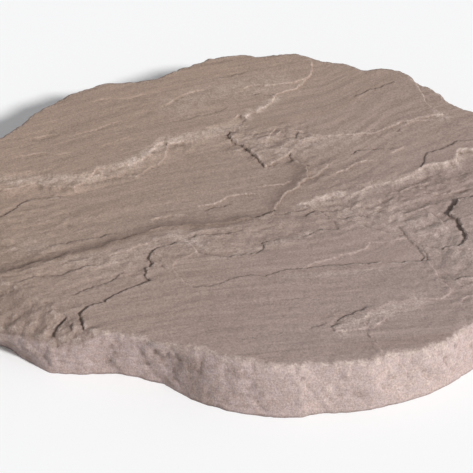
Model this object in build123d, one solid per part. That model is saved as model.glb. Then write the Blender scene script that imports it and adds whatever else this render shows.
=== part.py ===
"""A riven sandstone flagstone, one natural piece of stone, lying on its bed face.

The stone is a slab split from the quarry bed. Its broken edges lean outwards to the foot, and its top shows
the bedding: thin sheets have split away along ledges, each down to a bedding plane of its own.
Millimetres, +Z up, +X along the length, origin under the middle of the stone, on the ground.
"""

import os

from build123d import *

# Overall size of the stone.
LENGTH = 600.0
WIDTH = 470.0
THICKNESS = 48.0

# The size of the stone that the outlines below were drawn on.
DRAWN_LENGTH = 600.0
DRAWN_WIDTH = 470.0

# Height of the bulge in the broken edge, and how far the underside's edge is chipped up.
BELLY_HEIGHT = 20.0
UNDER_CHIP = 5.0

# Depth of each bedding plane below the highest one.
FRONT_TERRACE_DEPTH = 0.9
TONGUE_DEPTH = 1.9
STRIP_DEPTH = 2.9
NEAR_BAND_DEPTH = 2.6
FAR_BLOCK_DEPTH = 1.6
PLATE_DEPTH = 2.1
MIDDLE_DEPTH = 2.8
SHEET_DEPTH = 1.6
CLIFF_STEP_DEPTH = 2.4
LIP_DEPTH = 4.2
HOLLOW_DEPTH = 4.8
RIGHT_BAND_DEPTH = 4.9
RIGHT_CORNER_DEPTH = 1.8
FAR_FLAP_DEPTH = 2.6

# The broken corner at the front left: how far its two slopes and the gully between them lie below
# the top.
CORNER_LEFT_DEPTH = 4.0
CORNER_RIGHT_DEPTH = 15.0
GULLY_DEPTH = 12.0

# Room above the stone and outside its outline, so that a cut passes right through the surface.
OVERRUN = 8.0
OUTSIDE = 340.0

# The edge of the stone, anticlockwise from the right end: x and y of the rim, then how far the bulge and
# the foot stand out from it.
EDGE = [
    (290, -8, 10, 7),
    (280, 36, 7, 6),
    (276, 68, 6, 9),
    (268, 98, 5, 7),
    (254, 122, 4, 5),
    (238, 139, 2, 6),
    (222, 152, 5, 3),
    (210, 168, 2, 4),
    (197, 180, 4, 6),
    (184, 194, 1, 2),
    (171, 206, 3, 3),
    (153, 212, 2, -1),
    (134, 209, 4, 3),
    (112, 220, 1, -2),
    (91, 223, 3, 2),
    (74, 232, 2, -2),
    (55, 237, 0, -3),
    (28, 231, 3, 1),
    (0, 231, 2, 3),
    (-29, 227, 4, 1),
    (-47, 217, 2, 4),
    (-66, 203, 5, 7),
    (-84, 189, 6, 5),
    (-104, 185, 3, 6),
    (-134, 183, 4, 2),
    (-160, 170, 3, 5),
    (-182, 154, 5, 6),
    (-203, 134, 2, 5),
    (-213, 120, 6, 4),
    (-228, 101, 4, 8),
    (-248, 80, 6, 5),
    (-266, 52, 3, 7),
    (-283, 20, 6, 9),
    (-290, -14, 10, 7),
    (-283, -50, 7, 8),
    (-275, -84, 5, 10),
    (-256, -113, 6, 7),
    (-232, -134, 9, 3),
    (-208, -149, 10, 0),
    (-186, -162, 6, 3),
    (-163, -176, 3, 4),
    (-138, -180, 2, 3),
    (-112, -178, 3, 2),
    (-87, -183, 1, 2),
    (-62, -189, 4, 7),
    (-40, -194, 8, 15),
    (-17, -201, 13, 20),
    (6, -208, 15, 21),
    (28, -214, 11, 18),
    (56, -216, 12, 17),
    (86, -214, 9, 14),
    (116, -212, 8, 11),
    (141, -203, 7, 12),
    (164, -197, 5, 9),
    (183, -186, 7, 8),
    (205, -167, 6, 9),
    (228, -147, 4, 9),
    (250, -121, 7, 6),
    (268, -88, 5, 9),
    (280, -50, 6, 12),
]

# Ledges: the lines along which a bedding sheet ends, as seen from above.
CLIFF_TOP = [
    (-262, 30),
    (-225, 35),
    (-207, 42),
    (-190, 41),
    (-173, 33),
    (-157, 37),
    (-140, 44),
    (-128, 51),
    (-110, 54),
    (-98, 61),
    (-86, 67),
    (-80, 76),
    (-86, 86),
    (-73, 95),
    (-48, 102),
    (-30, 109),
    (-7, 121),
    (3, 130),
]
CLIFF_FOOT = [
    (-262, 12),
    (-225, 17),
    (-210, 20),
    (-193, 27),
    (-183, 23),
    (-155, 20),
    (-148, 28),
    (-139, 37),
    (-127, 42),
]
LIP_EDGE = [
    (-120, 39),
    (-108, 38),
    (-95, 39),
    (-85, 50),
    (-77, 55),
    (-70, 63),
    (-67, 77),
    (-66, 86),
]
LIP_BACK = [
    (-133, 46),
    (-115, 48),
    (-100, 54),
    (-90, 61),
    (-84, 70),
    (-80, 80),
    (-70, 88),
]
CLIFF_FOOT_RIGHT = [
    (-53, 90),
    (-40, 94),
    (-27, 99),
    (-15, 102.5),
    (-4, 105),
]
PLATE_LEFT = [
    (-7, 98),
    (0, 89),
    (7, 85),
    (12, 78),
    (17, 70),
    (22, 65),
    (28, 53),
]
PLATE_RIGHT = [
    (35, 58),
    (43, 62),
    (52, 73),
    (60, 83),
    (68, 92),
    (90, 97),
]
HOLLOW_END = [
    (54, 64),
    (66, 52),
    (70, 35),
    (58, 20),
    (47, 9),
    (40, 0),
    (36, -12),
]
HOLLOW_NEAR_EDGE = [
    (20, -22),
    (3, -27),
    (-10, -31),
    (-30, -33),
    (-53, -35),
    (-70, -38),
    (-88, -47),
    (-113, -58),
    (-123, -65),
    (-150, -73),
    (-175, -82),
    (-188, -87),
    (-212, -97),
    (-260, -108),
]
BLOCK_LEFT = [
    (0, 106),
    (6, 118),
    (10, 127),
    (17, 132),
    (28, 142),
    (36, 153),
    (41, 165),
    (60, 173),
    (70, 186),
    (78, 200),
]
BLOCK_FOOT = [
    (115, 101),
    (135, 104),
    (150, 110),
    (165, 119),
    (196, 129),
]
SHEET_EDGE = [
    (181, 46),
    (183, 63),
    (187, 72),
    (198, 77),
    (210, 82),
    (213, 88),
    (223, 92),
    (250, 95),
]
RIGHT_CLIFF = [
    (60, -3),
    (75, 4),
    (87, 11),
    (93, 15),
    (118, 13),
    (127, 22),
    (137, 27),
    (160, 35),
    (171, 42),
    (188, 53),
    (213, 59),
    (218, 75),
    (250, 82),
]
RAISED_BLOCK = [
    (250, 8),
    (225, 6),
    (208, 2),
    (205, -7),
    (198, -19),
    (208, -26),
    (212, -53),
    (205, -63),
    (190, -67),
]
TERRACE_END = [
    (171, -62),
    (175, -83),
    (178, -93),
    (187, -112),
    (191, -124),
    (184, -134),
    (157, -134),
    (137, -138),
    (121, -150),
]
CORNER_LEFT_EDGE = [
    (113, -160),
    (113, -175),
    (120, -187),
    (126, -198),
    (119, -212),
    (112, -OUTSIDE),
]
NEAR_BAND_EDGE = [
    (-137, -152),
    (-130, -143),
    (-117, -137),
    (-110, -130),
    (-92, -118),
    (-77, -109),
    (-82, -103),
    (-82, -94),
    (-77, -87),
    (-80, -78),
    (-75, -70),
    (-55, -58),
    (-41, -60),
    (-36, -72),
    (-10, -78),
    (20, -72),
    (27, -65),
    (23, -58),
    (43, -53),
    (57, -52),
    (80, -40),
    (95, -38),
    (92, -30),
    (84, -21),
]
TONGUE_TIP = [
    (-36, -72),
    (-43, -78),
    (-55, -88),
    (-57, -94),
    (-48, -111),
    (-38, -118),
    (-25, -119),
    (-8, -111),
    (10, -103),
    (27, -104),
    (40, -97),
]
TONGUE_FOOT = [
    (62, -93),
    (85, -90),
    (107, -87),
    (130, -86),
    (150, -87),
    (167, -83),
]
STRIP_BACK = [
    (171, -78),
    (166, -62),
    (157, -53),
    (140, -57),
    (124, -58),
    (118, -67),
    (100, -73),
    (90, -80),
    (70, -86),
]
TORN_PATCH = [
    (83, -168),
    (93, -160),
    (103, -152),
    (117, -146),
    (120, -165),
    (107, -172),
    (86, -175),
]
FLAP_EDGE = [
    (183, 200),
    (187, 176),
    (191, 158),
    (198, 142),
    (206, 131),
    (208, 121),
    (235, 113),
]


def on_stone(x, y):
    """A drawn point, moved to where it lies on a stone of the set length and width."""
    return x * LENGTH / DRAWN_LENGTH, y * WIDTH / DRAWN_WIDTH


def region(*lines):
    """One closed outline on the ground plane, made of ledge lines joined end to end."""
    return Polygon(*[on_stone(*point) for line in lines for point in line], align=None)


def edge_outline(stand_out):
    """The stone's outline, each rim point moved outwards by its own amount."""
    points = []
    for index, (x, y, *_) in enumerate(EDGE):
        before = Vector(*EDGE[index - 1][:2])
        after = Vector(*EDGE[(index + 1) % len(EDGE)][:2])
        outward = (after - before).normalized().rotate(Axis.Z, -90)
        point = Vector(x, y) + outward * stand_out[index]
        points.append(on_stone(point.X, point.Y))
    return Polygon(*points, align=None)


def broken_slab():
    """The slab before any sheet split away: foot, bulge and rim, joined by the broken facets."""
    foot = edge_outline([point[3] for point in EDGE])
    bulge = edge_outline([point[2] for point in EDGE])
    rim = edge_outline([0] * len(EDGE))
    sections = [foot, Pos(0, 0, BELLY_HEIGHT) * bulge, Pos(0, 0, THICKNESS) * rim]
    return loft(sections, ruled=True)


def cleft(outline, depth, rise_x=0.0, rise_y=0.0, about=(0, 0)):
    """The stone that split away over an outline, down to a bedding plane.

    The plane lies at its depth at the point about, and rises by so many millimetres in 100 along X and Y.
    """
    x, y = on_stone(*about)
    plane = Plane(origin=(x, y, THICKNESS - depth), z_dir=(-rise_x / 100, -rise_y / 100, 1))
    column = extrude(outline, THICKNESS + OVERRUN, dir=(0, 0, 1))
    return split(column, bisect_by=plane, keep=Keep.TOP)


def sheets_at_the_back():
    """Clefts behind the hollow: the cliff and its lip, the far block, and the plate that broke out of it."""
    block = region(
        BLOCK_LEFT,
        [(90, OUTSIDE), (OUTSIDE, OUTSIDE), (OUTSIDE, 120), (206, 131)],
        BLOCK_FOOT[::-1],
        [(90, 97), (60, 86), (20, 90)],
    )
    cliff = region([(-OUTSIDE, 22)], CLIFF_TOP, BLOCK_LEFT[2::-1], [(-20, 80), (-60, 40), (-OUTSIDE, -40)])
    lip = region(CLIFF_FOOT[-2:-1], LIP_BACK, [(-50, 70), (-90, 20)])
    plate = region(PLATE_LEFT, PLATE_RIGHT, [(63, 104), (42, 111), (12, 112), (0, 106)])
    flap = region(FLAP_EDGE, [(OUTSIDE, 105), (OUTSIDE, OUTSIDE), (175, OUTSIDE)])
    return [
        cleft(block, FAR_BLOCK_DEPTH, rise_x=0.3, rise_y=0.5, about=(30, 140)),
        cleft(cliff, CLIFF_STEP_DEPTH, rise_x=0.2, about=(-80, 90)),
        cleft(lip, LIP_DEPTH, rise_y=1.0, about=(-100, 45)),
        cleft(plate, PLATE_DEPTH, rise_x=-0.8, rise_y=0.6, about=(30, 80)),
        cleft(flap, FAR_FLAP_DEPTH, rise_x=-5.0, rise_y=-3.0, about=(200, 150)),
    ]


def hollow():
    """The long hollow across the stone, from the foot of the cliff to the near edge."""
    outline = region(
        [(-OUTSIDE, 0)],
        CLIFF_FOOT,
        LIP_EDGE,
        CLIFF_FOOT_RIGHT,
        PLATE_LEFT,
        PLATE_RIGHT[:3],
        HOLLOW_END,
        HOLLOW_NEAR_EDGE,
        [(-OUTSIDE, -125)],
    )
    return cleft(outline, HOLLOW_DEPTH, rise_x=0.6, rise_y=0.4, about=(-60, 30))


def sheets_in_the_middle():
    """Clefts right of the hollow: the middle ground, a thin sheet left on it, and the right band."""
    middle = region(
        PLATE_RIGHT,
        BLOCK_FOOT,
        FLAP_EDGE[-3:],
        [(OUTSIDE, 108), (OUTSIDE, 97)],
        SHEET_EDGE[::-1],
        [(150, 10), (100, -5), (62, -12), (34, -20), (30, 30)],
    )
    sheet = region(SHEET_EDGE, [(OUTSIDE, 97), (OUTSIDE, 40), (230, 30)])
    band = region(
        RIGHT_CLIFF,
        [(OUTSIDE, 88), (OUTSIDE, 10)],
        RAISED_BLOCK,
        [TERRACE_END[0], (150, -48), (112, -30), NEAR_BAND_EDGE[-1]],
    )
    return [
        cleft(middle, MIDDLE_DEPTH, rise_x=0.2, rise_y=0.4, about=(100, 60)),
        cleft(sheet, SHEET_DEPTH, rise_x=-0.4, about=(200, 65)),
        cleft(band, RIGHT_BAND_DEPTH, rise_x=0.5, rise_y=-2.4, about=(130, 10)),
    ]


def sheets_at_the_front():
    """Clefts between the hollow and the front edge, each ending against the next by a low ledge."""
    terrace = region(
        [(-150, -148), (-OUTSIDE / 2, -OUTSIDE), (OUTSIDE, -OUTSIDE), (OUTSIDE, -70)],
        [(190, -67), (180, -52), (100, -30), (0, -50), (-60, -50)],
    )
    band = region(
        NEAR_BAND_EDGE,
        [RIGHT_CLIFF[0], (30, 0), (-60, -20), (-OUTSIDE, -100)],
        [(-OUTSIDE, -OUTSIDE), (-120, -OUTSIDE), (-134, -170)],
    )
    tongue = region(
        TONGUE_TIP,
        TONGUE_FOOT,
        TERRACE_END[1::-1],
        [(150, -46), (112, -24), (84, -16), (60, -26)],
    )
    strip = region(TONGUE_FOOT, STRIP_BACK)
    corner = region(TERRACE_END, CORNER_LEFT_EDGE, [(OUTSIDE, -OUTSIDE), (OUTSIDE, -75), (190, -67)])
    return [
        cleft(terrace - region(TORN_PATCH), FRONT_TERRACE_DEPTH),
        cleft(band, NEAR_BAND_DEPTH, rise_x=-0.3, rise_y=0.9, about=(-60, -60)),
        cleft(tongue, TONGUE_DEPTH, rise_x=-0.2, rise_y=-0.3, about=(40, -80)),
        cleft(strip, STRIP_DEPTH, rise_x=-0.3, about=(120, -75)),
        cleft(corner, RIGHT_CORNER_DEPTH, rise_x=-1.2, rise_y=0.5, about=(180, -120)),
    ]


def broken_corner():
    """What broke off the front left corner: a slope on either side of a gully."""
    left = region([(-OUTSIDE, -60), (-140, -120), (-155, -OUTSIDE), (-OUTSIDE, -OUTSIDE)])
    right = region([(-160, -164), (-140, -120), (-90, -140), (-90, -OUTSIDE), (-155, -OUTSIDE)])
    gully = region(
        [(-154, -147), (-149, -153), (-157, -167), (-154, -OUTSIDE), (-172, -OUTSIDE), (-165, -164)],
    )
    return [
        cleft(left, CORNER_LEFT_DEPTH, rise_x=32.0, rise_y=42.0, about=(-182, -134)),
        cleft(right, CORNER_RIGHT_DEPTH, rise_x=41.0, rise_y=72.0, about=(-146, -181)),
        cleft(gully, GULLY_DEPTH, rise_x=8.0, rise_y=52.0, about=(-160, -165)),
    ]


def underside_chips():
    """Flakes that came away along the edge of the underside: the bed face stays flat between them."""
    right = Plane(origin=(*on_stone(262, 20), 0), z_dir=(0.17, 0.03, -1))
    left = Plane(origin=(*on_stone(-258, -30), 0), z_dir=(-0.14, -0.02, -1))
    back = Plane(origin=(*on_stone(-40, 205), 0), z_dir=(-0.02, 0.16, -1))
    reach = Box(2 * OUTSIDE, 2 * OUTSIDE, UNDER_CHIP, align=(Align.CENTER, Align.CENTER, Align.MIN))
    return [split(reach, bisect_by=plane, keep=Keep.TOP) for plane in (right, left, back)]


def flagstone():
    """The whole stone, set down with its bounding box centred over the origin."""
    stone = broken_slab()
    for lost in [
        *sheets_at_the_back(),
        hollow(),
        *sheets_in_the_middle(),
        *sheets_at_the_front(),
        *broken_corner(),
        *underside_chips(),
    ]:
        stone -= lost
    box = stone.bounding_box()
    return Pos(-box.center().X, -box.center().Y, -box.min.Z) * stone


os.makedirs("parts", exist_ok=True)
export_step(flagstone(), "parts/flagstone.step")
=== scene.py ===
"""Looks for the flagstone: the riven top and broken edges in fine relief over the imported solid."""

import math

import bpy
import numpy as np
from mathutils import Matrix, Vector, kdtree
from mathutils.bvhtree import BVHTree
from mathutils.geometry import delaunay_2d_cdt


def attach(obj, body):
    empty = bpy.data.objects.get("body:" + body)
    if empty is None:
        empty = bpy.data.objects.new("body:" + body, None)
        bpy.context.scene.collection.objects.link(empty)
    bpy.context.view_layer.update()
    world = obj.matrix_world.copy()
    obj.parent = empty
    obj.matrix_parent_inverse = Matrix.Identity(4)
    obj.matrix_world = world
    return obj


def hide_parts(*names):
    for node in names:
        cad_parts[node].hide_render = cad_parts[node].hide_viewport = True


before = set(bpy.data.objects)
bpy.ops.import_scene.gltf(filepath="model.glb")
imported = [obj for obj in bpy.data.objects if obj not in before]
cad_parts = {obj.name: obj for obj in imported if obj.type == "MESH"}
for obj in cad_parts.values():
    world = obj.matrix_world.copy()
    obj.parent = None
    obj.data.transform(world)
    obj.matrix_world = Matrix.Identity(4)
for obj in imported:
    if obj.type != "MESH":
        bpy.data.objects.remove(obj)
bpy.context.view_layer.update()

# Lengths and places are in millimetres until the mesh is made. The lines below were drawn about a point 2 mm
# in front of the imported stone's middle.
MM = 0.001
DRAWN_Y = 2.0
NODE = "flagstone"

# How closely the points of the stone lie: on the top, along its ledges, round the side and on the bed face.
GRID = 1.95
GRID_JITTER = 0.3
GRID_HALF_X = 305
GRID_FRONT, GRID_BACK = -240, 245
LEDGE_STEP = 1.5
LEDGE_HALF = 0.3
LEDGE_CLEAR = 0.95
RIM_CLEAR = 1.6
SIDE_STEP = 2.1
SIDE_ROWS = 17
BED_GRID = 16.0
BED_HALF_X, BED_HALF_Y = 290, 225
BED_CLEAR = 8.0
JOIN_WITHIN = 1e-5

# Rays that ask the solid for its surface start this far outside it and this far above its top. The lowest
# meet its side just over the foot, and its outline is read near half its height.
OUTSIDE = 500
ABOVE = 20
OVER_FOOT = 0.05
OUTLINE_Z = 20.0
OUTLINE_TURNS = 4000

# The solid's top: its upright walls stand above the first height and all of it above the second, and no ledge
# drops as far as the third.
WALLS_ABOVE = 34
TOP_ABOVE = 9
PAST_ANY_DROP = 9

# The broken side and the rim: how far they may stand proud, how the rim is lowered, rounded and worn, how
# much of the break's depth is left at the foot, and how far the rim counts as side.
SIDE_PROUD = 0.4
RIM_DROP = 0.4
RIM_ROUNDING = 1.3
RIM_ROUNDED_FROM = 0.9
RIM_WEAR = 0.8
FOOT_BREAK = 0.55
RIM_ON_SIDE = 0.55
TOP_WEAR = 0.55
TOP_WEAR_WIDTH = 4.0

# How far the ledges stray from their drawn lines, over what length, and the tries that place points on them.
WANDER = 3.4
WANDER_SIZE = 15.0
WANDER_TRIES = 6

# Ledges too fine for the solid. Each is drawn from left to right: its height (positive where the far side
# stands higher), how far the rise fades out on the high side and on the low side, and its points.
FINE_LEDGES = [
    (1.6, 14, 9, [(-75, 141), (-65, 152), (-60, 158), (-53, 162), (-40, 168), (-32, 172)]),
    (1.5, 14, 9, [(0, 166), (8, 172), (17, 178), (30, 179), (50, 181), (60, 182), (67, 186), (75, 194)]),
    (-1.0, 8, 8, [(13, 160), (23, 165), (38, 163)]),
    (1.1, 12, 8, [(-150, 152), (-128, 158), (-108, 156), (-90, 166)]),
    (0.9, 12, 8, [(-205, 92), (-180, 98), (-160, 96), (-138, 106), (-120, 118), (-104, 121)]),
    (1.2, 12, 9, [(-215, 62), (-190, 70), (-168, 68), (-150, 76), (-128, 82), (-112, 92), (-100, 96)]),
    (-0.9, 9, 9, [(-60, 118), (-42, 126), (-28, 130), (-10, 142)]),
    (-1.3, 16, 12, [(-240, -28), (-220, -17), (-208, -5), (-197, 3), (-183, 8), (-155, 11)]),
    (1.3, 12, 8, [(-38, -5), (-18, 0), (-8, 8), (2, 12), (25, 12)]),
    (-1.0, 9, 7, [(-30, -13), (-25, -8), (-2, -2)]),
    (1.1, 10, 7, [(-82, -28), (-78, -23), (-70, -20), (-60, -19), (-45, -19)]),
    (1.2, 10, 7, [(18, 22), (30, 26), (44, 24), (52, 30)]),
    (1.3, 7, 6, [(30, 90), (35, 101), (40, 110)]),
    (1.0, 7, 6, [(42, 99), (47, 108)]),
    (-1.0, 6, 6, [(58, 93), (61, 105)]),
    (-1.5, 14, 9, [(112, 68), (118, 73), (128, 77), (145, 79), (157, 79)]),
    (1.3, 12, 8, [(92, 40), (98, 44), (108, 46), (110, 52), (117, 57), (137, 62)]),
    (1.2, 9, 7, [(68, 34), (78, 40), (84, 50), (92, 57)]),
    (0.9, 9, 7, [(150, 70), (157, 77), (166, 82)]),
    (-0.8, 7, 7, [(145, 112), (152, 108), (158, 105), (163, 111)]),
    (1.0, 10, 7, [(163, 113), (175, 120), (185, 122), (198, 122)]),
    (-1.0, 12, 9, [(117, 160), (127, 167), (138, 173), (150, 178), (163, 187)]),
    (-1.2, 10, 8, [(-20, 190), (-5, 194), (14, 202)]),
    (1.1, 12, 8, [(108, -8), (117, -5), (132, -7), (140, -12)]),
    (1.0, 10, 7, [(152, -19), (165, -15), (177, -9), (184, -7)]),
    (-1.6, 10, 9, [(181, -13), (187, -21), (194, -28)]),
    (-1.4, 9, 8, [(192, -26), (195, -40)]),
    (1.2, 9, 7, [(165, 8), (178, 14), (196, 12), (214, 20), (236, 24)]),
    (1.1, 9, 7, [(142, 12), (156, 16), (170, 24), (184, 30)]),
    (-0.9, 8, 7, [(97, -22), (110, -18), (124, -22)]),
    (0.8, 8, 6, [(-70, -82), (-68, -90), (-60, -97)]),
    (-1.1, 9, 7, [(62, -24), (74, -14), (85, -14), (97, -12)]),
    (0.9, 7, 6, [(152, -36), (155, -42), (158, -48)]),
    (-1.3, 12, 9, [(83, -166), (90, -161), (98, -156), (107, -149), (117, -144)]),
    (1.1, 12, 7, [(120, -171), (128, -162), (132, -157)]),
    (-0.8, 7, 6, [(63, -170), (70, -168), (77, -165)]),
    (0.9, 9, 6, [(112, -175), (116, -181), (122, -188)]),
    (-1.3, 10, 8, [(187, -107), (200, -107), (213, -106)]),
    (0.9, 9, 7, [(196, -140), (206, -130), (222, -126)]),
    (-0.9, 12, 8, [(-170, -60), (-150, -52), (-128, -50), (-112, -42)]),
    (-1.0, 10, 8, [(-200, -112), (-180, -104), (-156, -100), (-138, -92), (-118, -88)]),
    (-0.9, 9, 8, [(-150, -128), (-132, -118), (-116, -112), (-100, -98)]),
    (0.9, 9, 7, [(-118, -78), (-104, -72), (-92, -66), (-78, -60)]),
    (-0.8, 8, 7, [(-46, -50), (-28, -48), (-10, -46), (8, -40)]),
]
FINE_LEDGE_ENDS = 0.16
FINE_LEDGE_TAPER = 0.7
FINE_LEDGE_REACH = 4

# The solid's own ledges that a soft slope lies against. Each is drawn from left to right.
CLIFF_TOP = [
    (-262, 30), (-225, 35), (-207, 42), (-190, 41), (-173, 33), (-157, 37), (-140, 44), (-128, 51),
    (-110, 54), (-98, 61), (-86, 67), (-80, 76), (-86, 86), (-73, 95), (-48, 102), (-30, 109), (-7, 121),
    (3, 130),
]
CLIFF_FOOT = [
    (-262, 12), (-225, 17), (-210, 20), (-193, 27), (-183, 23), (-155, 20), (-148, 28), (-139, 37),
    (-127, 42),
]
CLIFF_FOOT_RIGHT = [(-53, 90), (-40, 94), (-27, 99), (-15, 102.5), (-4, 105)]
HOLLOW_EDGE = [
    (-260, -108), (-212, -97), (-188, -87), (-175, -82), (-150, -73), (-123, -65), (-113, -58), (-88, -47),
    (-70, -38), (-53, -35), (-30, -33), (-10, -31), (3, -27), (20, -22),
]
HOLLOW_END = [(36, -12), (40, 0), (47, 9), (58, 20), (70, 35), (66, 52), (54, 64)]
RIGHT_CLIFF = [
    (60, -3), (75, 4), (87, 11), (93, 15), (118, 13), (127, 22), (137, 27), (160, 35), (171, 42), (188, 53),
    (213, 59), (218, 75), (250, 82),
]

# The soft slopes: the height at the ledge's foot, the width, which side stands high (1 for the line's left,
# -1 for its right) and the ledge.
APRONS = [
    (2.5, 5.5, 1, CLIFF_TOP),
    (2.0, 3.5, 1, CLIFF_FOOT),
    (2.2, 4.5, 1, CLIFF_FOOT_RIGHT),
    (3.3, 7.5, -1, HOLLOW_EDGE),
    (3.0, 10.0, -1, HOLLOW_END),
    (2.0, 4.0, 1, RIGHT_CLIFF),
]
APRON_ENDS = 0.04

# Where the break left the stone rough: how rough, how far it reaches, and the line along its middle.
ROUGH_PLACES = [
    (0.65, 26, [(-230, -60), (-150, -95), (-90, -85), (-40, -50), (20, -45), (70, -28)]),
    (1.0, 30, [(-215, -130), (-180, -150), (-150, -178)]),
    (0.9, 9, [(-150, -176), (-125, -178), (-108, -181)]),
    (0.95, 32, [(110, 0), (160, 0), (200, -30), (195, -75), (220, -120)]),
    (0.95, 28, [(180, 25), (240, 30), (270, 0)]),
    (1.15, 22, [(5, 92), (30, 75), (55, 98)]),
    (0.7, 16, [(72, 34), (80, 56)]),
    (0.8, 14, [(92, -160), (112, -158)]),
    (0.5, 22, [(-250, 25), (-170, 30), (-120, 48), (-80, 80), (-20, 112)]),
    (0.45, 24, [(-220, -20), (-180, -22), (-140, -25)]),
    (0.4, 26, [(-200, 80), (-130, 110), (-70, 140)]),
    (0.5, 22, [(205, -160), (240, -120), (262, -70)]),
]
SMOOTHEST = 0.12
FULL_WITHIN = 0.5

# Where the top is painted paler (positive) or darker (negative): painted highlight on the ledges that face
# the lamp, painted shade in the hollow, and paler edges and patches. Each gives how strongly, how far it
# reaches on the far side and on the near side, and the line along it.
TOP_TONES_AND_PAINTED_LIGHT = [
    # Painted highlight on the far cliff and the ledge beside it, which face the lamp.
    (0.55, 5, 6, [(-250, 27), (-225, 31), (-190, 31), (-150, 32), (-120, 47), (-100, 58)]),
    (0.6, 4, 7, [(-100, 58), (-85, 74), (-70, 90), (-30, 103), (0, 112)]),
    (0.6, 4, 5, [(11, 129), (22, 140), (40, 158)]),
    # Painted shade in the hollow, under its near edge and at its right end.
    (-1.0, 10, 3, HOLLOW_EDGE),
    (-0.6, 9, 9, [(34, -12), (38, 0), (45, 12), (55, 24), (62, 40), (56, 58)]),
    # Painted highlight on the right cliff, which faces the lamp.
    (0.55, 2, 7, RIGHT_CLIFF),
    # Paler edges and patches.
    (0.45, 3, 4, [(-23, -82), (10, -70), (45, -55), (80, -40)]),
    (0.4, 2, 5, [(40, -104), (90, -100), (135, -93)]),
    (0.7, 8, 8, [(-55, -45), (-42, -54), (-30, -64)]),
    (0.4, 22, 22, [(110, -8), (150, -25), (190, -45), (215, -80)]),
    (0.75, 7, 7, [(92, -172), (110, -162), (132, -150), (160, -136)]),
    (0.35, 14, 14, [(15, 88), (45, 76), (80, 90), (110, 98)]),
    (0.6, 5, 5, [(200, 134), (206, 127)]),
    (0.3, 16, 16, [(-60, 145), (-20, 170), (40, 185)]),
    (0.3, 14, 14, [(-190, -60), (-120, -85), (-70, -60)]),
]

# Painted light in leaning bands on the front of the broken side, painted shade (negative) where it faces away
# from the lamp and painted highlight (positive) where it faces it: how strongly, where along X, and how far.
SIDE_PAINTED_LIGHT = [(-0.75, -24, 17), (-0.35, -108, 14), (-0.55, -203, 32), (0.3, 72, 30), (0.45, 162, 60)]
SIDE_PAINTED_LIGHT_LEAN = 0.5
SIDE_PAINTED_LIGHT_WANDER = 6
SIDE_PAINTED_LIGHT_SIZE = 14

# Colours, as linear red, green and blue.
TAN = (0.335, 0.245, 0.196)
MAUVE = (0.325, 0.247, 0.222)
BROWN_STREAK = (0.26, 0.185, 0.145)
FRESH_PALE = (0.45, 0.355, 0.34)
FRESH_DARK = (0.355, 0.262, 0.235)
# Pale worn stone, also used for painted highlight.
WEAR_AND_HIGHLIGHT = (0.50, 0.395, 0.34)
WEAR_AND_HIGHLIGHT_WHITE = (0.60, 0.50, 0.45)
# Painted shade for creases, for hollows, and where the top and side are painted darker.
CREVICE_SHADE = (0.105, 0.066, 0.044)
HOLLOW_SHADE = (0.19, 0.13, 0.10)
PAINTED_SHADE = (0.15, 0.105, 0.08)
FLOOR_WHITE = (0.93, 0.93, 0.93)
SKY = (0.97, 0.98, 1.0)
WHITE = (1.0, 1.0, 1.0)

# How far streaks are drawn out along the bedding, and the depth of the finest grain in metres.
BEDDING_STRETCH = (0.07, 1.0, 1.0)
GRAIN_DEPTH = 0.0017

# The light and the camera, in metres and degrees.
SUN_STRENGTH = 3.7
SUN_SOFTNESS = 9
SUN_AZIMUTH = 55
SUN_ELEVATION = 33
SKY_STRENGTH = 0.37
FLOOR_REACH = 6.0
CAMERA_PLACE = (0.0, -1.2410, 1.1166)
CAMERA_TILT = 48
CAMERA_LENS = 131.9
CAMERA_SENSOR = 36.0

# Large whole numbers that stir a point's place into a random-looking value.
STIR_X, STIR_Y, STIR_Z, STIR_SEED = 374761393, 668265263, 2147483647, 1274126177
KEPT_BITS = 0xFFFFFF


def hashed(ix, iy, iz, seed):
    """A fixed random number from 0 to 1 for each lattice point."""
    mixed = ix * STIR_X + iy * STIR_Y + iz * STIR_Z + seed * STIR_SEED
    mixed = (mixed ^ (mixed >> 13)) * STIR_SEED
    mixed = mixed ^ (mixed >> 16)
    return (mixed & KEPT_BITS) / float(KEPT_BITS)


def noise(x, y, z, seed):
    """Smooth noise from -1 to 1, with features about one unit apart."""
    ix, iy, iz = (np.floor(v).astype(np.int64) for v in (x, y, z))
    fx, fy, fz = (f * f * f * (f * (f * 6 - 15) + 10) for f in (x - ix, y - iy, z - iz))
    total = 0.0
    for dx in (0, 1):
        for dy in (0, 1):
            for dz in (0, 1):
                weight = (fx if dx else 1 - fx) * (fy if dy else 1 - fy) * (fz if dz else 1 - fz)
                total = total + weight * hashed(ix + dx, iy + dy, iz + dz, seed)
    return total * 2 - 1


def fractal(x, y, z, size, octaves, seed, gain=0.55):
    """Noise of several sizes, each half the one before, from about -1 to 1."""
    total, strength, reach = 0.0, 1.0, 0.0
    for octave in range(octaves):
        scale = 2.0 ** octave / size
        total = total + strength * noise(x * scale, y * scale, z * scale, seed + octave)
        reach += strength
        strength *= gain
    return total / reach


def ramp(value, start, end):
    """Rises evenly from 0 at the start to 1 at the end, and is level beyond them."""
    return np.clip((value - start) / (end - start), 0, 1)


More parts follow.
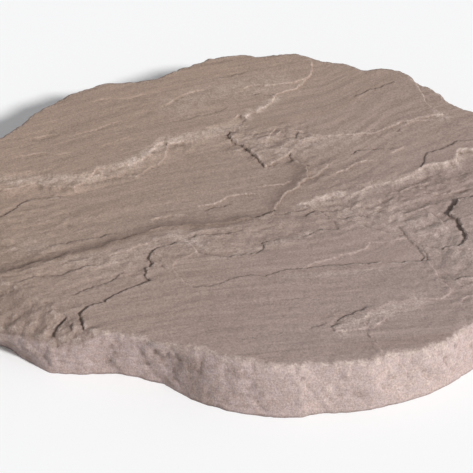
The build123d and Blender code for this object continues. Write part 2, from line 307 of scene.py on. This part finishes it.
def beside_line(x, y, line):
    """Distance to a line, the side (positive on its left) and how far along it, for each point."""
    points = np.array(line, float)
    starts, steps = points[:-1], np.diff(points, axis=0)
    lengths = np.hypot(steps[:, 0], steps[:, 1])
    before = np.concatenate([[0], np.cumsum(lengths)])
    best = np.full(x.shape, np.inf)
    side = np.ones_like(x)
    along = np.zeros_like(x)
    for (sx, sy), (dx, dy), length, run in zip(starts, steps, lengths, before):
        t = np.clip(((x - sx) * dx + (y - sy) * dy) / length ** 2, 0, 1)
        away = np.hypot(x - sx - t * dx, y - sy - t * dy)
        nearer = away < best
        best = np.where(nearer, away, best)
        side = np.where(nearer, np.sign(dx * (y - sy) - dy * (x - sx)), side)
        along = np.where(nearer, (run + t * length) / before[-1], along)
    return best, side, along


def wander(x, y):
    """How far a ledge strays from its drawn line at a point, along X and along Y."""
    level, other_level = np.zeros_like(x), np.full_like(x, 7.3)
    dx = WANDER * fractal(x, y, level, size=WANDER_SIZE, octaves=4, seed=11, gain=0.66)
    dy = WANDER * fractal(x, y, other_level, size=WANDER_SIZE, octaves=4, seed=23, gain=0.66)
    return dx, dy


def ledges_and_slopes(x, y):
    """Height that the fine ledges and the soft slopes add, at points already moved by wander."""
    total = np.zeros_like(x)
    for height, high_width, low_width, line in FINE_LEDGES:
        px, py = zip(*line)
        reach = FINE_LEDGE_REACH * max(high_width, low_width)
        near = (x > min(px) - reach) & (x < max(px) + reach)
        near = near & (y > min(py) - reach) & (y < max(py) + reach)
        away, side, along = beside_line(x[near], y[near], line)
        ends = ramp(np.minimum(along, 1 - along), 0, FINE_LEDGE_ENDS) ** FINE_LEDGE_TAPER
        high = side * np.sign(height) > 0
        fade = np.where(high, np.exp(-away / high_width), -np.exp(-away / low_width))
        total[near] += 0.5 * abs(height) * ends * fade
    for height, width, high_side, line in APRONS:
        away, side, along = beside_line(x, y, line)
        ends = ramp(np.minimum(along, 1 - along), 0, APRON_ENDS)
        total += np.where(side * high_side < 0, height * ends * np.exp(-away / width), 0.0)
    return total


def roughness_at(x, y):
    """How rough the break left the top at each point, up to about 1."""
    rough = np.full(x.shape, SMOOTHEST)
    for strength, reach, line in ROUGH_PLACES:
        away, _, _ = beside_line(x, y, line)
        rough = np.maximum(rough, strength * ramp(away, (1 + FULL_WITHIN) * reach, FULL_WITHIN * reach))
    return rough


def top_tones_and_painted_light_at(x, y):
    """How much paler or darker the top is painted at each point, from -1 to 1, as painted light and shade and
    paler patches.
    """
    total = np.zeros_like(x)
    for amount, far, near, line in TOP_TONES_AND_PAINTED_LIGHT:
        away, side, _ = beside_line(x, y, line)
        total += amount * np.exp(-((away / np.where(side > 0, far, near)) ** 2))
    return np.clip(total, -1, 1)


def side_painted_light_at(x, y, z):
    """Painted highlight (positive) and shade (negative) on the broken side at each point. The back is left
    plain.
    """
    size = SIDE_PAINTED_LIGHT_SIZE
    place = x + SIDE_PAINTED_LIGHT_LEAN * z + SIDE_PAINTED_LIGHT_WANDER * noise(x / size, y / size, z / size, seed=83)
    total = np.zeros_like(x)
    for amount, middle, reach in SIDE_PAINTED_LIGHT:
        total += amount * np.exp(-(((place - middle) / reach) ** 2))
    return np.where(y < 0, total, 0.0)


def bedding_angle(x, y):
    """The direction of the fine lines in the bedding, in radians from +X. They turn from front to back."""
    to_the_back = 11 * ramp(y, -105, 125)
    to_the_left = 7 * ramp(x, -20, -180)
    right_block = 8 * ramp(x, 90, 150) * ramp(y, -90, -50)
    return np.radians(8 + to_the_back + to_the_left + right_block)


def riven_grain(x, y, angle, rough):
    """Height of the stone's own grain: broad swells, lines along the bedding, and torn and scaled places."""
    level = np.zeros_like(x)
    along = x * np.cos(angle) + y * np.sin(angle)
    across = -x * np.sin(angle) + y * np.cos(angle)
    swell = 0.5 * fractal(x, y, level, size=95.0, octaves=2, seed=3)
    lines = (0.48 + 0.2 * rough) * fractal(along / 16, across, level, size=7.0, octaves=3, seed=7, gain=0.75)
    torn = 2.7 * fractal(along / 2.2, across, level, size=9.0, octaves=4, seed=13, gain=0.66)
    scales = 0.8 * np.abs(fractal(along / 2, across, level, size=17.0, octaves=3, seed=17))
    pits = 0.09 * fractal(x, y, level, size=2.4, octaves=1, seed=19)
    return swell + lines + rough * (torn + scales) + pits


def side_break(x, y, z):
    """How far the broken side is set back from the solid's flat facets."""
    hollows = fractal(x, y, z * 1.2, size=34.0, octaves=2, seed=41)
    shards = np.abs(fractal(x + 0.7 * z, y, z * 0.55, size=19.0, octaves=3, seed=57, gain=0.5))
    splits = np.abs(fractal(x - 0.4 * z, y, z * 0.7, size=8.5, octaves=2, seed=63))
    grain = fractal(x, y, z, size=4.6, octaves=2, seed=71)
    return 1.4 + 4.4 * hollows - 4.6 * shards + 1.3 * splits + 0.5 * grain


class Solid:
    """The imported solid's surface, asked for its height, its edge and its walls, as it was drawn."""

    def __init__(self, thing):
        mesh = thing.data
        self.points = np.array([v.co for v in mesh.vertices]) / MM
        self.points[:, 1] += DRAWN_Y
        self.faces = [tuple(face.vertices) for face in mesh.polygons]
        self.tree = BVHTree.FromPolygons([Vector(p) for p in self.points], self.faces)
        self.top = self.points[:, 2].max()

    def height(self, x, y):
        """The height of the top at each point, or nan beyond the stone."""
        down = Vector((0, 0, -1))
        found = np.zeros(len(x))
        for index, (px, py) in enumerate(zip(x.tolist(), y.tolist())):
            hit = self.tree.ray_cast(Vector((px, py, self.top + ABOVE)), down)[0]
            found[index] = hit.z if hit else np.nan
        return found

    def edge(self, angle, z):
        """How far out the side of the solid lies, seen from the middle, at each angle and height."""
        found = np.zeros(len(angle))
        for index, (turn, pz) in enumerate(zip(angle.tolist(), z.tolist())):
            out = Vector((math.cos(turn), math.sin(turn), 0))
            hit = self.tree.ray_cast(out * OUTSIDE + Vector((0, 0, pz)), -out)[0]
            found[index] = math.hypot(hit.x, hit.y) if hit else np.nan
        known = ~np.isnan(found)
        return np.interp(angle, angle[known], found[known], period=2 * math.pi)

    def rim(self, angle):
        """Where the broken side ends and the top begins: the distance out and the height at each angle."""
        step, steps, first_step, steepest = 0.75, 44, 0.4, 1.15
        levels = (OVER_FOOT, 6.0, 20.0, 30.0)
        outer = np.max([self.edge(angle, np.full(len(angle), z)) for z in levels], axis=0)
        ways = np.array([outer - first_step - step * k for k in range(steps)])
        heights = [self.height(way * np.cos(angle), way * np.sin(angle)) for way in ways]
        heights = np.nan_to_num(np.array(heights), nan=0.0)
        on_top = (heights[:-1] > TOP_ABOVE) & (np.diff(heights, axis=0) / step < steepest)
        first = np.argmax(on_top, axis=0)
        each = np.arange(len(angle))
        return ways[first, each], heights[first, each]

    def wall_lines(self):
        """The level line under each upright wall in the top, as its two ends."""
        smallest, upright = 1e-6, 0.02
        lines = []
        for face in self.faces:
            a, b, c = (self.points[i] for i in face[:3])
            normal = np.cross(b - a, c - a)
            size = np.linalg.norm(normal)
            if size < smallest or abs(normal[2]) / size > upright or min(a[2], b[2], c[2]) < WALLS_ABOVE:
                continue
            ends = sorted(tuple(p[:2]) for p in (a, b, c))
            lines.append((ends[0], ends[-1]))
        return [line for line in dict.fromkeys(lines) if line[0] != line[1]]


def points_along(start, end):
    """Points a set step apart along one straight piece, with its unit direction."""
    start, end = np.array(start, float), np.array(end, float)
    length = np.linalg.norm(end - start)
    count = max(1, int(round(length / LEDGE_STEP)))
    t = (np.arange(count) + 0.5) / count
    return start + t[:, None] * (end - start), np.repeat([(end - start) / length], count, axis=0)


def ledge_points(solid):
    """Pairs of points, one at the crest and one at the foot of every ledge, where the ledge really runs."""
    lines = solid.wall_lines()
    for _, _, _, line in FINE_LEDGES:
        lines += zip(line, line[1:])
    pieces = [points_along(start, end) for start, end in lines]
    points = np.concatenate([p for p, _ in pieces])
    ways = np.concatenate([w for _, w in pieces])
    across = np.stack([-ways[:, 1], ways[:, 0]], 1) * LEDGE_HALF
    drawn = np.concatenate([points + across, points - across])
    moved = drawn.copy()
    for _ in range(WANDER_TRIES):
        dx, dy = wander(moved[:, 0], moved[:, 1])
        moved = drawn - np.stack([dx, dy], 1)
    return moved


def reach_towards(points, outline):
    """How far out a closed outline lies, seen from the middle, in the direction of each point."""
    turn = np.arctan2(outline[:, 1], outline[:, 0])
    out = np.hypot(outline[:, 0], outline[:, 1])
    order = np.argsort(turn)
    return np.interp(np.arctan2(points[:, 1], points[:, 0]), turn[order], out[order], period=2 * math.pi)


def inside(points, outline, clear):
    """The points that lie inside an outline, and clear of it."""
    return points[np.hypot(points[:, 0], points[:, 1]) < reach_towards(points, outline) - clear]


def side_columns(solid):
    """Angles an even step apart round the edge, one for each column of the side."""
    turn = np.linspace(-math.pi, math.pi, OUTLINE_TURNS, endpoint=False)
    out = solid.edge(turn, np.full(len(turn), OUTLINE_Z))
    x, y = out * np.cos(turn), out * np.sin(turn)
    run = np.concatenate([[0], np.cumsum(np.hypot(np.diff(x), np.diff(y)))])
    count = int(run[-1] / SIDE_STEP)
    return np.interp(np.arange(count) * run[-1] / count, run, turn)


def side_rows(solid, turn):
    """The broken side as rows of points, from the foot up to the rim."""
    rim_out, rim_z = solid.rim(turn)
    rim_z = rim_z - RIM_DROP
    rows = []
    for row in range(SIDE_ROWS):
        share = row / (SIDE_ROWS - 1)
        z = rim_z * share
        out = solid.edge(turn, np.maximum(z, OVER_FOOT)) if row < SIDE_ROWS - 1 else rim_out
        x, y = out * np.cos(turn), out * np.sin(turn)
        # The break reaches its full depth at half height.
        depth = FOOT_BREAK + (1 - FOOT_BREAK) * math.sin(math.pi * min(share, 0.5))
        back = depth * side_break(x, y, z)
        back += RIM_ROUNDING * ramp(share, RIM_ROUNDED_FROM, 1.0)
        back += RIM_WEAR * fractal(x, y, z, size=6.0, octaves=2, seed=91) * share
        out = out - np.maximum(back, -SIDE_PROUD)
        rows.append(np.stack([out * np.cos(turn), out * np.sin(turn), z], 1))
    return rows


def top_places(solid, rim):
    """Where the points of the top lie: the ledge pairs, and an even jittered grid clear of them."""
    ledge = inside(ledge_points(solid), rim, RIM_CLEAR)
    gx, gy = np.meshgrid(
        np.arange(-GRID_HALF_X, GRID_HALF_X, GRID), np.arange(GRID_FRONT, GRID_BACK, GRID * math.sqrt(3) / 2)
    )
    gx = gx + (np.arange(gx.shape[0]) % 2)[:, None] * GRID / 2
    rng = np.random.default_rng(5)
    grid = np.stack([gx.ravel(), gy.ravel()], 1) + rng.uniform(-GRID_JITTER, GRID_JITTER, (gx.size, 2))
    grid = inside(grid, rim, RIM_CLEAR)
    tree = kdtree.KDTree(len(ledge))
    for index, (x, y) in enumerate(ledge.tolist()):
        tree.insert((x, y, 0), index)
    tree.balance()
    clear = [tree.find((x, y, 0))[2] > LEDGE_CLEAR for x, y in grid.tolist()]
    return np.concatenate([ledge, grid[clear]])


def top_surface(solid, places, rim):
    """The top's height, roughness, tones with painted light and shade, and bedding's direction at each place.
    """
    x, y = places.T
    dx, dy = wander(x, y)
    ux, uy = x + dx, y + dy
    height, unmoved = solid.height(ux, uy), solid.height(x, y)
    height = np.where(np.isnan(height) | (height < unmoved - PAST_ANY_DROP), unmoved, height)
    rough = roughness_at(ux, uy)
    angle = bedding_angle(x, y)
    height += ledges_and_slopes(ux, uy) + riven_grain(x, y, angle, rough)
    height -= TOP_WEAR * ramp(reach_towards(places, rim) - np.hypot(x, y), TOP_WEAR_WIDTH, 0) ** 2
    return np.minimum(height, solid.top), rough, top_tones_and_painted_light_at(ux, uy), angle


def bed_places(foot):
    """Where the points of the flat bed face lie, inside its foot."""
    half_x, half_y = BED_HALF_X, BED_HALF_Y
    gx, gy = np.meshgrid(np.arange(-half_x, half_x + 1, BED_GRID), np.arange(-half_y, half_y + 1, BED_GRID))
    return inside(np.stack([gx.ravel(), gy.ravel()], 1), foot, BED_CLEAR)


def triangles(places, loop, numbers):
    """Triangles over flat places inside a loop, given in the numbers that the places have in the mesh."""
    whole_inside = 1
    flat = [Vector(p) for p in places.tolist()]
    _, _, faces, sources, _, _ = delaunay_2d_cdt(flat, loop, [], whole_inside, JOIN_WITHIN)
    names = [numbers[source[0]] for source in sources]
    return [[names[i] for i in face] for face in faces]


def build_stone(solid):
    """The whole stone as one closed mesh, with its surface named in vertex attributes."""
    turn = side_columns(solid)
    rows = side_rows(solid, turn)
    side, foot, rim = np.concatenate(rows), rows[0], rows[-1]
    top = top_places(solid, rim)
    height, rough, tone_and_painted_light, angle = top_surface(solid, top, rim)
    bed = bed_places(foot)

    columns = len(turn)
    top_start = len(side)
    bed_start = top_start + len(top)
    count = bed_start + len(bed)
    loop = [(i, (i + 1) % columns) for i in range(columns)]
    top_numbers = range(top_start - columns, bed_start)
    bed_numbers = [*range(columns), *range(bed_start, count)]
    top_faces = triangles(np.concatenate([rim[:, :2], top]), loop, top_numbers)
    bed_faces = triangles(np.concatenate([foot[:, :2], bed]), loop, bed_numbers)
    side_faces = [
        [row + here, row + after, row + columns + after, row + columns + here]
        for row in range(0, top_start - columns, columns)
        for here, after in loop
    ]
    polygons = top_faces + side_faces + [face[::-1] for face in bed_faces]
    top = np.column_stack([top, height])
    bed = np.column_stack([bed, np.zeros(len(bed))])
    points = np.concatenate([side, top, bed])

    def layer(on_side, on_top, on_bed):
        parts = [(on_side, len(side)), (on_top, len(top)), (on_bed, len(bed))]
        return np.concatenate([np.broadcast_to(value, size) for value, size in parts])

    side_share = np.ones(len(side))
    side_share[-columns:] = RIM_ON_SIDE
    layers = {
        "on_side": layer(side_share, 0.0, 0.0),
        "rough": layer(1.0, rough, 1.0),
        "tone_and_painted_light": layer(side_painted_light_at(*side.T), tone_and_painted_light, 0.0),
        "bedding": layer(0.0, angle, 0.0),
    }
    return points, polygons, layers


def add_layer(mesh, name, values):
    layer = mesh.attributes.new(name, "FLOAT", "POINT")
    layer.data.foreach_set("value", values.astype(np.float32))


def add_hollowness(mesh):
    """Marks how deep in a crevice (positive) or how far out on an edge (negative) each point lies, in mm."""
    count = len(mesh.vertices)
    places, normals = np.zeros(count * 3), np.zeros(count * 3)
    mesh.vertices.foreach_get("co", places)
    mesh.vertices.foreach_get("normal", normals)
    places, normals = places.reshape(-1, 3) / MM, normals.reshape(-1, 3)
    ends = np.zeros(len(mesh.edges) * 2, np.int32)
    mesh.edges.foreach_get("vertices", ends)
    a, b = ends.reshape(-1, 2).T
    degree = np.maximum(np.bincount(a, minlength=count) + np.bincount(b, minlength=count), 1)

    def mean_of_neighbours(values):
        return (np.bincount(a, values[b], count) + np.bincount(b, values[a], count)) / degree

    for name, rounds in (("crease", 2), ("cavity", 9)):
        mean = places
        for _ in range(rounds):
            mean = np.stack([mean_of_neighbours(mean[:, axis]) for axis in range(3)], 1)
        add_layer(mesh, name, np.einsum("ij,ij->i", mean - places, normals))


class Nodes:
    """Short calls that add one material's nodes. Those that make a node return its output."""

    def __init__(self, tree):
        self.nodes, self.links = tree.nodes, tree.links

    def feed(self, socket, item):
        """Gives a socket a number, a colour or another node's output."""
        if isinstance(item, tuple):
            socket.default_value = (*item, 1.0)
        elif isinstance(item, (int, float)):
            socket.default_value = item
        else:
            self.links.new(item, socket)

    def attribute(self, name):
        node = self.nodes.new("ShaderNodeAttribute")
        node.attribute_name = name
        return node.outputs["Fac"]

    def math(self, operation, first, second):
        node = self.nodes.new("ShaderNodeMath")
        node.operation = operation
        self.feed(node.inputs[0], first)
        self.feed(node.inputs[1], second)
        return node.outputs[0]

    def add(self, *items):
        total = items[0]
        for item in items[1:]:
            total = self.math("ADD", total, item)
        return total

    def times(self, first, second):
        return self.math("MULTIPLY", first, second)

    def noise(self, where, scale, detail, roughness=0.6):
        node = self.nodes.new("ShaderNodeTexNoise")
        node.inputs["Scale"].default_value = scale
        node.inputs["Detail"].default_value = detail
        node.inputs["Roughness"].default_value = roughness
        self.feed(node.inputs["Vector"], where)
        return node.outputs[0]

    def spread(self, item, low, high, to_low, to_high):
        """Maps low..high to to_low..to_high, and keeps what lies beyond at the ends."""
        node = self.nodes.new("ShaderNodeMapRange")
        node.clamp = True
        self.feed(node.inputs["Value"], item)
        for name, number in (("From Min", low), ("From Max", high), ("To Min", to_low), ("To Max", to_high)):
            node.inputs[name].default_value = number
        return node.outputs[0]

    def blend(self, share, first, second):
        """The first colour, turning to the second as the share goes from 0 to 1."""
        node = self.nodes.new("ShaderNodeMix")
        node.data_type = "RGBA"
        self.feed(node.inputs["Factor"], share)
        for socket, item in zip([s for s in node.inputs if s.type == "RGBA"], (first, second)):
            self.feed(socket, item)
        return next(s for s in node.outputs if s.type == "RGBA")

    def scaled(self, colour, amount):
        node = self.nodes.new("ShaderNodeVectorMath")
        node.operation = "SCALE"
        self.feed(node.inputs[0], colour)
        self.feed(node.inputs["Scale"], amount)
        return node.outputs[0]

    def along_bedding(self, place):
        """The place turned with the bedding and drawn out along it."""
        turn = self.nodes.new("ShaderNodeVectorRotate")
        turn.rotation_type = "Z_AXIS"
        self.feed(turn.inputs["Vector"], place)
        self.feed(turn.inputs["Angle"], self.times(self.attribute("bedding"), -1.0))
        stretch = self.nodes.new("ShaderNodeMapping")
        stretch.inputs["Scale"].default_value = BEDDING_STRETCH
        self.feed(stretch.inputs["Vector"], turn.outputs[0])
        return stretch.outputs[0]


def stone_material():
    """Dry buff sandstone: bedding streaks, grain, pale worn edges, painted shade in crevices, and painted
    highlight.
    """
    material = bpy.data.materials.new("sandstone")
    material.use_nodes = True
    make = Nodes(material.node_tree)
    shader = make.nodes["Principled BSDF"]
    place = make.nodes.new("ShaderNodeTexCoord").outputs["Object"]
    axes = make.nodes.new("ShaderNodeSeparateXYZ")
    make.feed(axes.inputs[0], place)
    bedding = make.along_bedding(place)
    patches = make.noise(place, scale=7.0, detail=3.0)
    streaks = make.noise(bedding, scale=190.0, detail=4.0, roughness=0.7)
    broad_streaks = make.noise(bedding, scale=45.0, detail=3.0)
    grain = make.noise(place, scale=560.0, detail=4.0, roughness=0.8)
    mottle = make.noise(place, scale=160.0, detail=3.0, roughness=0.65)

    # The top goes from tan at the far left to mauve at the near right, and the side is a fresher break.
    towards = make.math("SUBTRACT", make.times(axes.outputs["X"], 0.9), axes.outputs["Y"])
    nearness = make.spread(make.add(towards, make.times(patches, 0.18)), -0.1, 0.36, 0.0, 1.0)
    top = make.blend(nearness, TAN, MAUVE)
    top = make.blend(make.spread(broad_streaks, 0.56, 0.74, 0.0, 0.35), top, BROWN_STREAK)
    fresh = make.blend(make.spread(mottle, 0.35, 0.65, 0.0, 1.0), FRESH_PALE, FRESH_DARK)
    stone = make.blend(make.spread(make.attribute("on_side"), 0.3, 1.0, 0.0, 1.0), top, fresh)

    # Edges are worn pale, except where they meet the ground, and crevices and hollows get painted shade.
    crease, tone_and_painted_light = make.attribute("crease"), make.attribute("tone_and_painted_light")
    pale = make.blend(make.spread(grain, 0.4, 0.6, 0.0, 1.0), WEAR_AND_HIGHLIGHT, WEAR_AND_HIGHLIGHT_WHITE)
    worn = make.spread(crease, -0.12, -0.6, 0.0, 0.5)
    worn = make.times(worn, make.spread(mottle, 0.38, 0.6, 0.1, 1.0))
    worn = make.times(worn, make.spread(axes.outputs["Z"], 0.002, 0.010, 0.0, 1.0))
    stone = make.blend(worn, stone, pale)
    # Painted shade in the creases and the hollows.
    stone = make.blend(make.spread(crease, 0.14, 0.7, 0.0, 0.45), stone, CREVICE_SHADE)
    stone = make.blend(make.spread(make.attribute("cavity"), 0.25, 1.8, 0.0, 0.35), stone, HOLLOW_SHADE)
    patchy = make.spread(mottle, 0.36, 0.62, 0.15, 1.0)
    # Painted highlight where ledges and the side face the lamp, with paler edges and patches, in the worn
    # colours.
    stone = make.blend(make.times(make.spread(tone_and_painted_light, 0.0, 1.0, 0.0, 0.85), patchy), stone, pale)
    # Painted shade in the hollow and on the side's faces turned from the lamp.
    stone = make.blend(make.spread(tone_and_painted_light, 0.0, -1.0, 0.0, 0.5), stone, PAINTED_SHADE)

    light = make.add(
        make.spread(streaks, 0.3, 0.7, -0.12, 0.12),
        make.spread(grain, 0.3, 0.7, 0.71, 1.29),
        make.spread(mottle, 0.3, 0.7, -0.06, 0.06),
        make.spread(patches, 0.3, 0.7, -0.03, 0.03),
    )
    make.feed(shader.inputs["Base Color"], make.scaled(stone, light))
    make.feed(shader.inputs["Roughness"], make.spread(grain, 0.3, 0.7, 0.82, 0.96))
    shader.inputs["Specular IOR Level"].default_value = 0.25

    bump = make.nodes.new("ShaderNodeBump")
    bump.inputs["Distance"].default_value = GRAIN_DEPTH
    make.feed(bump.inputs["Strength"], make.spread(make.attribute("rough"), 0.1, 1.0, 0.42, 0.85))
    relief = make.add(make.times(grain, 0.5), make.times(mottle, 0.5), make.times(streaks, 0.6))
    make.feed(bump.inputs["Height"], relief)
    make.feed(shader.inputs["Normal"], bump.outputs[0])
    return material


def floor_material():
    """Plain and pale, so that only the stone's shadow shows on it."""
    material = bpy.data.materials.new("floor_white")
    material.use_nodes = True
    shader = material.node_tree.nodes["Principled BSDF"]
    shader.inputs["Base Color"].default_value = (*FLOOR_WHITE, 1.0)
    shader.inputs["Roughness"].default_value = 0.9
    return material


def add_object(name, data):
    thing = bpy.data.objects.new(name, data)
    bpy.context.scene.collection.objects.link(thing)
    return thing


def add_stone():
    """The dressed stone, standing for the solid."""
    points, polygons, layers = build_stone(Solid(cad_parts[NODE]))
    points[:, 1] -= DRAWN_Y
    mesh = bpy.data.meshes.new("riven_stone")
    mesh.from_pydata((points * MM).tolist(), [], polygons)
    mesh.validate()
    for name, values in layers.items():
        add_layer(mesh, name, values)
    add_hollowness(mesh)
    mesh.polygons.foreach_set("use_smooth", [True] * len(mesh.polygons))
    mesh.materials.append(stone_material())
    stone = add_object("riven_stone", mesh)
    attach(stone, "root")
    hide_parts(NODE)


def add_floor():
    """A pale level floor that takes the stone's shadow."""
    mesh = bpy.data.meshes.new("floor")
    corners = [(x * FLOOR_REACH, y * FLOOR_REACH, 0) for x, y in ((-1, -1), (1, -1), (1, 1), (-1, 1))]
    mesh.from_pydata(corners, [], [(0, 1, 2, 3)])
    mesh.materials.append(floor_material())
    add_object("floor", mesh)


def add_sun():
    """Soft daylight from the front right."""
    lamp = bpy.data.lights.new("key", "SUN")
    lamp.energy = SUN_STRENGTH
    lamp.angle = math.radians(SUN_SOFTNESS)
    azimuth, elevation = math.radians(SUN_AZIMUTH), math.radians(SUN_ELEVATION)
    level = math.cos(elevation)
    way = Vector((math.sin(azimuth) * level, -math.cos(azimuth) * level, math.sin(elevation)))
    add_object("key", lamp).rotation_euler = way.to_track_quat("Z", "Y").to_euler()


def add_sky():
    """The sky as fill. The camera itself sees white behind the stone."""
    world = bpy.data.worlds.new("sky")
    bpy.context.scene.world = world
    world.use_nodes = True
    nodes, links = world.node_tree.nodes, world.node_tree.links
    nodes.clear()
    choose = nodes.new("ShaderNodeMixShader")
    for slot, colour, strength in ((1, SKY, SKY_STRENGTH), (2, WHITE, 1.0)):
        background = nodes.new("ShaderNodeBackground")
        background.inputs["Color"].default_value = (*colour, 1.0)
        background.inputs["Strength"].default_value = strength
        links.new(background.outputs[0], choose.inputs[slot])
    links.new(nodes.new("ShaderNodeLightPath").outputs["Is Camera Ray"], choose.inputs["Fac"])
    links.new(choose.outputs[0], nodes.new("ShaderNodeOutputWorld").inputs["Surface"])


def add_camera():
    """The photo's camera: 42 degrees above level, with a long lens."""
    lens = bpy.data.cameras.new("camera")
    lens.lens = CAMERA_LENS
    lens.sensor_width = CAMERA_SENSOR
    camera = add_object("camera", lens)
    camera.location = CAMERA_PLACE
    camera.rotation_euler = (math.radians(CAMERA_TILT), 0, 0)
    bpy.context.scene.camera = camera


add_stone()
add_floor()
add_sun()
add_sky()
add_camera()
bpy.context.scene.view_settings.view_transform = "Standard"
